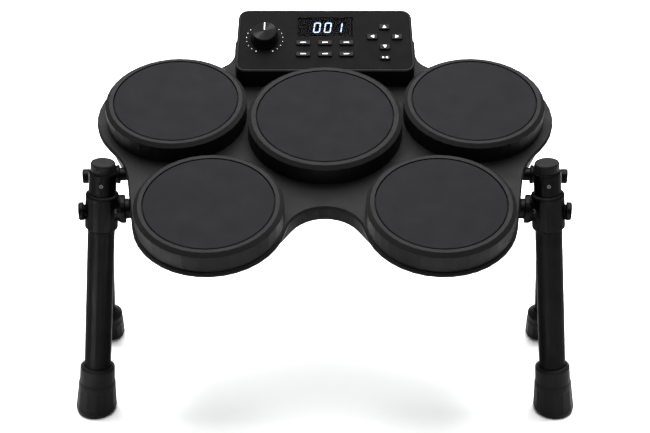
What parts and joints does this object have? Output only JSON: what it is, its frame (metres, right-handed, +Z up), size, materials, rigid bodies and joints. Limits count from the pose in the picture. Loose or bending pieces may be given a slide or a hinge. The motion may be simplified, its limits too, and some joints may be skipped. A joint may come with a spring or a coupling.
{
  "type": "tabletop electronic drum kit",
  "caption": "Tabletop electronic drum kit: a tilted deck of round strike pads with a control module behind, on adjustable splayed legs with rubber feet.",
  "frame": {"origin": "on the supporting surface, under the middle of the kit's width and depth", "axes": "+X to the player's right, +Y away from the player towards the control module, +Z up"},
  "size_m": [0.6386, 0.4458, 0.4085],
  "materials": {
    "housing_plastic": "fine moulded texture, satin",
    "pad_rubber": "matte soft rubber with a fine grain",
    "sensor_brass": "bare brass disc",
    "face_plastic": "fine matte face",
    "smoked_lens": "smoked gloss window",
    "dark_plastic": "dark inner plastic",
    "circuit_board": "green solder mask",
    "button_rubber": "soft matte keys",
    "knob_plastic": "dark fluted knob",
    "bright_metal": "turned face with a radial sheen",
    "bracket_plastic": "satin moulded bracket",
    "tube_metal": "satin black coating",
    "foot_rubber": "matte black rubber",
    "marking": "white printed marks",
    "display_glow": "lit digits"
  },
  "bodies": {
    "deck": {"deck_bottom_shell": "housing_plastic", "deck_top_shell": "housing_plastic", "digit_display": "dark_plastic", "display_lens": "smoked_lens", "key_board": "circuit_board", "main_board": "circuit_board", "module_case": "housing_plastic", "module_face": "face_plastic", "pod_centre": "housing_plastic", "pod_low_left": "housing_plastic", "pod_low_right": "housing_plastic", "pod_top_left": "housing_plastic", "pod_top_right": "housing_plastic", "potentiometer": "bright_metal", "sensor_centre": "sensor_brass", "sensor_low_left": "sensor_brass", "sensor_low_right": "sensor_brass", "sensor_top_left": "sensor_brass", "sensor_top_right": "sensor_brass", "stub_pipe_front_left": "bracket_plastic", "stub_pipe_front_right": "bracket_plastic", "stub_pipe_rear_left": "bracket_plastic", "stub_pipe_rear_right": "bracket_plastic", "surface_centre": "pad_rubber", "surface_low_left": "pad_rubber", "surface_low_right": "pad_rubber", "surface_top_left": "pad_rubber", "surface_top_right": "pad_rubber"},
    "clamp_front_left": {"clamp_front_left": "bracket_plastic"},
    "leg_front_left": {"leg_tube_front_left": "tube_metal", "foot_front_left": "foot_rubber", "end_cap_front_left": "foot_rubber"},
    "lock_knob_front_left": {"lock_knob_front_left": "bracket_plastic"},
    "clamp_front_right": {"clamp_front_right": "bracket_plastic"},
    "leg_front_right": {"leg_tube_front_right": "tube_metal", "foot_front_right": "foot_rubber", "end_cap_front_right": "foot_rubber"},
    "lock_knob_front_right": {"lock_knob_front_right": "bracket_plastic"},
    "clamp_rear_left": {"clamp_rear_left": "bracket_plastic"},
    "leg_rear_left": {"leg_tube_rear_left": "tube_metal", "foot_rear_left": "foot_rubber"},
    "lock_knob_rear_left": {"lock_knob_rear_left": "bracket_plastic"},
    "clamp_rear_right": {"clamp_rear_right": "bracket_plastic"},
    "leg_rear_right": {"leg_tube_rear_right": "tube_metal", "foot_rear_right": "foot_rubber"},
    "lock_knob_rear_right": {"lock_knob_rear_right": "bracket_plastic"},
    "volume_knob": {"volume_knob": "knob_plastic", "volume_knob_disc": "bright_metal"},
    "button_function_1": {"button_function_1": "button_rubber"},
    "button_function_2": {"button_function_2": "button_rubber"},
    "button_function_3": {"button_function_3": "button_rubber"},
    "button_function_4": {"button_function_4": "button_rubber"},
    "button_function_5": {"button_function_5": "button_rubber"},
    "button_function_6": {"button_function_6": "button_rubber"},
    "button_up": {"button_up": "button_rubber"},
    "button_down": {"button_down": "button_rubber"},
    "button_left": {"button_left": "button_rubber"},
    "button_right": {"button_right": "button_rubber"},
    "button_play": {"button_play": "button_rubber"}
  },
  "joints": [
    {"name": "swing_front_left", "type": "hinge", "parent": "deck", "child": "clamp_front_left", "pos_m": [-0.27072, -0.10055, 0.28107], "axis": [0.9962, 0.0853, 0.0181], "range_deg": [-25, 12]},
    {"name": "height_front_left", "type": "slide", "parent": "clamp_front_left", "child": "leg_front_left", "axis": [0.0826, 0.1009, 0.9915], "range_m": [-0.018, 0.06]},
    {"name": "lock_front_left", "type": "hinge", "parent": "clamp_front_left", "child": "lock_knob_front_left", "pos_m": [-0.27072, -0.10055, 0.28107], "axis": [-0.9962, -0.0853, -0.0181], "range_deg": [0, 360]},
    {"name": "swing_front_right", "type": "hinge", "parent": "deck", "child": "clamp_front_right", "pos_m": [0.27072, -0.10055, 0.28107], "axis": [0.9962, -0.0853, -0.0181], "range_deg": [-25, 12]},
    {"name": "height_front_right", "type": "slide", "parent": "clamp_front_right", "child": "leg_front_right", "axis": [-0.0826, 0.1009, 0.9915], "range_m": [-0.018, 0.06]},
    {"name": "lock_front_right", "type": "hinge", "parent": "clamp_front_right", "child": "lock_knob_front_right", "pos_m": [0.27072, -0.10055, 0.28107], "axis": [0.9962, -0.0853, -0.0181], "range_deg": [0, 360]},
    {"name": "swing_rear_left", "type": "hinge", "parent": "deck", "child": "clamp_rear_left", "pos_m": [-0.27072, -0.03843, 0.29427], "axis": [0.9962, 0.0853, 0.0181], "range_deg": [-12, 20]},
    {"name": "height_rear_left", "type": "slide", "parent": "clamp_rear_left", "child": "leg_rear_left", "axis": [0.078, -0.2474, 0.9658], "range_m": [-0.008, 0.045]},
    {"name": "lock_rear_left", "type": "hinge", "parent": "clamp_rear_left", "child": "lock_knob_rear_left", "pos_m": [-0.27072, -0.03843, 0.29427], "axis": [-0.9962, -0.0853, -0.0181], "range_deg": [0, 360]},
    {"name": "swing_rear_right", "type": "hinge", "parent": "deck", "child": "clamp_rear_right", "pos_m": [0.27072, -0.03843, 0.29427], "axis": [0.9962, -0.0853, -0.0181], "range_deg": [-12, 20]},
    {"name": "height_rear_right", "type": "slide", "parent": "clamp_rear_right", "child": "leg_rear_right", "axis": [-0.078, -0.2474, 0.9658], "range_m": [-0.008, 0.045]},
    {"name": "lock_rear_right", "type": "hinge", "parent": "clamp_rear_right", "child": "lock_knob_rear_right", "pos_m": [0.27072, -0.03843, 0.29427], "axis": [0.9962, -0.0853, -0.0181], "range_deg": [0, 360]},
    {"name": "volume_turn", "type": "hinge", "parent": "deck", "child": "volume_knob", "pos_m": [-0.0793, 0.15916, 0.38724], "axis": [0, -0.4226, 0.9063], "range_deg": [-150, 150]},
    {"name": "button_function_1_press", "type": "slide", "parent": "deck", "child": "button_function_1", "axis": [0, 0.4226, -0.9063], "range_m": [0, 0.0007], "stiffness_N_per_m": 400, "springref_m": -0.001},
    {"name": "button_function_2_press", "type": "slide", "parent": "deck", "child": "button_function_2", "axis": [0, 0.4226, -0.9063], "range_m": [0, 0.0007], "stiffness_N_per_m": 400, "springref_m": -0.001},
    {"name": "button_function_3_press", "type": "slide", "parent": "deck", "child": "button_function_3", "axis": [0, 0.4226, -0.9063], "range_m": [0, 0.0007], "stiffness_N_per_m": 400, "springref_m": -0.001},
    {"name": "button_function_4_press", "type": "slide", "parent": "deck", "child": "button_function_4", "axis": [0, 0.4226, -0.9063], "range_m": [0, 0.0007], "stiffness_N_per_m": 400, "springref_m": -0.001},
    {"name": "button_function_5_press", "type": "slide", "parent": "deck", "child": "button_function_5", "axis": [0, 0.4226, -0.9063], "range_m": [0, 0.0007], "stiffness_N_per_m": 400, "springref_m": -0.001},
    {"name": "button_function_6_press", "type": "slide", "parent": "deck", "child": "button_function_6", "axis": [0, 0.4226, -0.9063], "range_m": [0, 0.0007], "stiffness_N_per_m": 400, "springref_m": -0.001},
    {"name": "button_up_press", "type": "slide", "parent": "deck", "child": "button_up", "axis": [0, 0.4226, -0.9063], "range_m": [0, 0.0007], "stiffness_N_per_m": 400, "springref_m": -0.001},
    {"name": "button_down_press", "type": "slide", "parent": "deck", "child": "button_down", "axis": [0, 0.4226, -0.9063], "range_m": [0, 0.0007], "stiffness_N_per_m": 400, "springref_m": -0.001},
    {"name": "button_left_press", "type": "slide", "parent": "deck", "child": "button_left", "axis": [0, 0.4226, -0.9063], "range_m": [0, 0.0007], "stiffness_N_per_m": 400, "springref_m": -0.001},
    {"name": "button_right_press", "type": "slide", "parent": "deck", "child": "button_right", "axis": [0, 0.4226, -0.9063], "range_m": [0, 0.0007], "stiffness_N_per_m": 400, "springref_m": -0.001},
    {"name": "button_play_press", "type": "slide", "parent": "deck", "child": "button_play", "axis": [0, 0.4226, -0.9063], "range_m": [0, 0.0007], "stiffness_N_per_m": 400, "springref_m": -0.001}
  ]
}
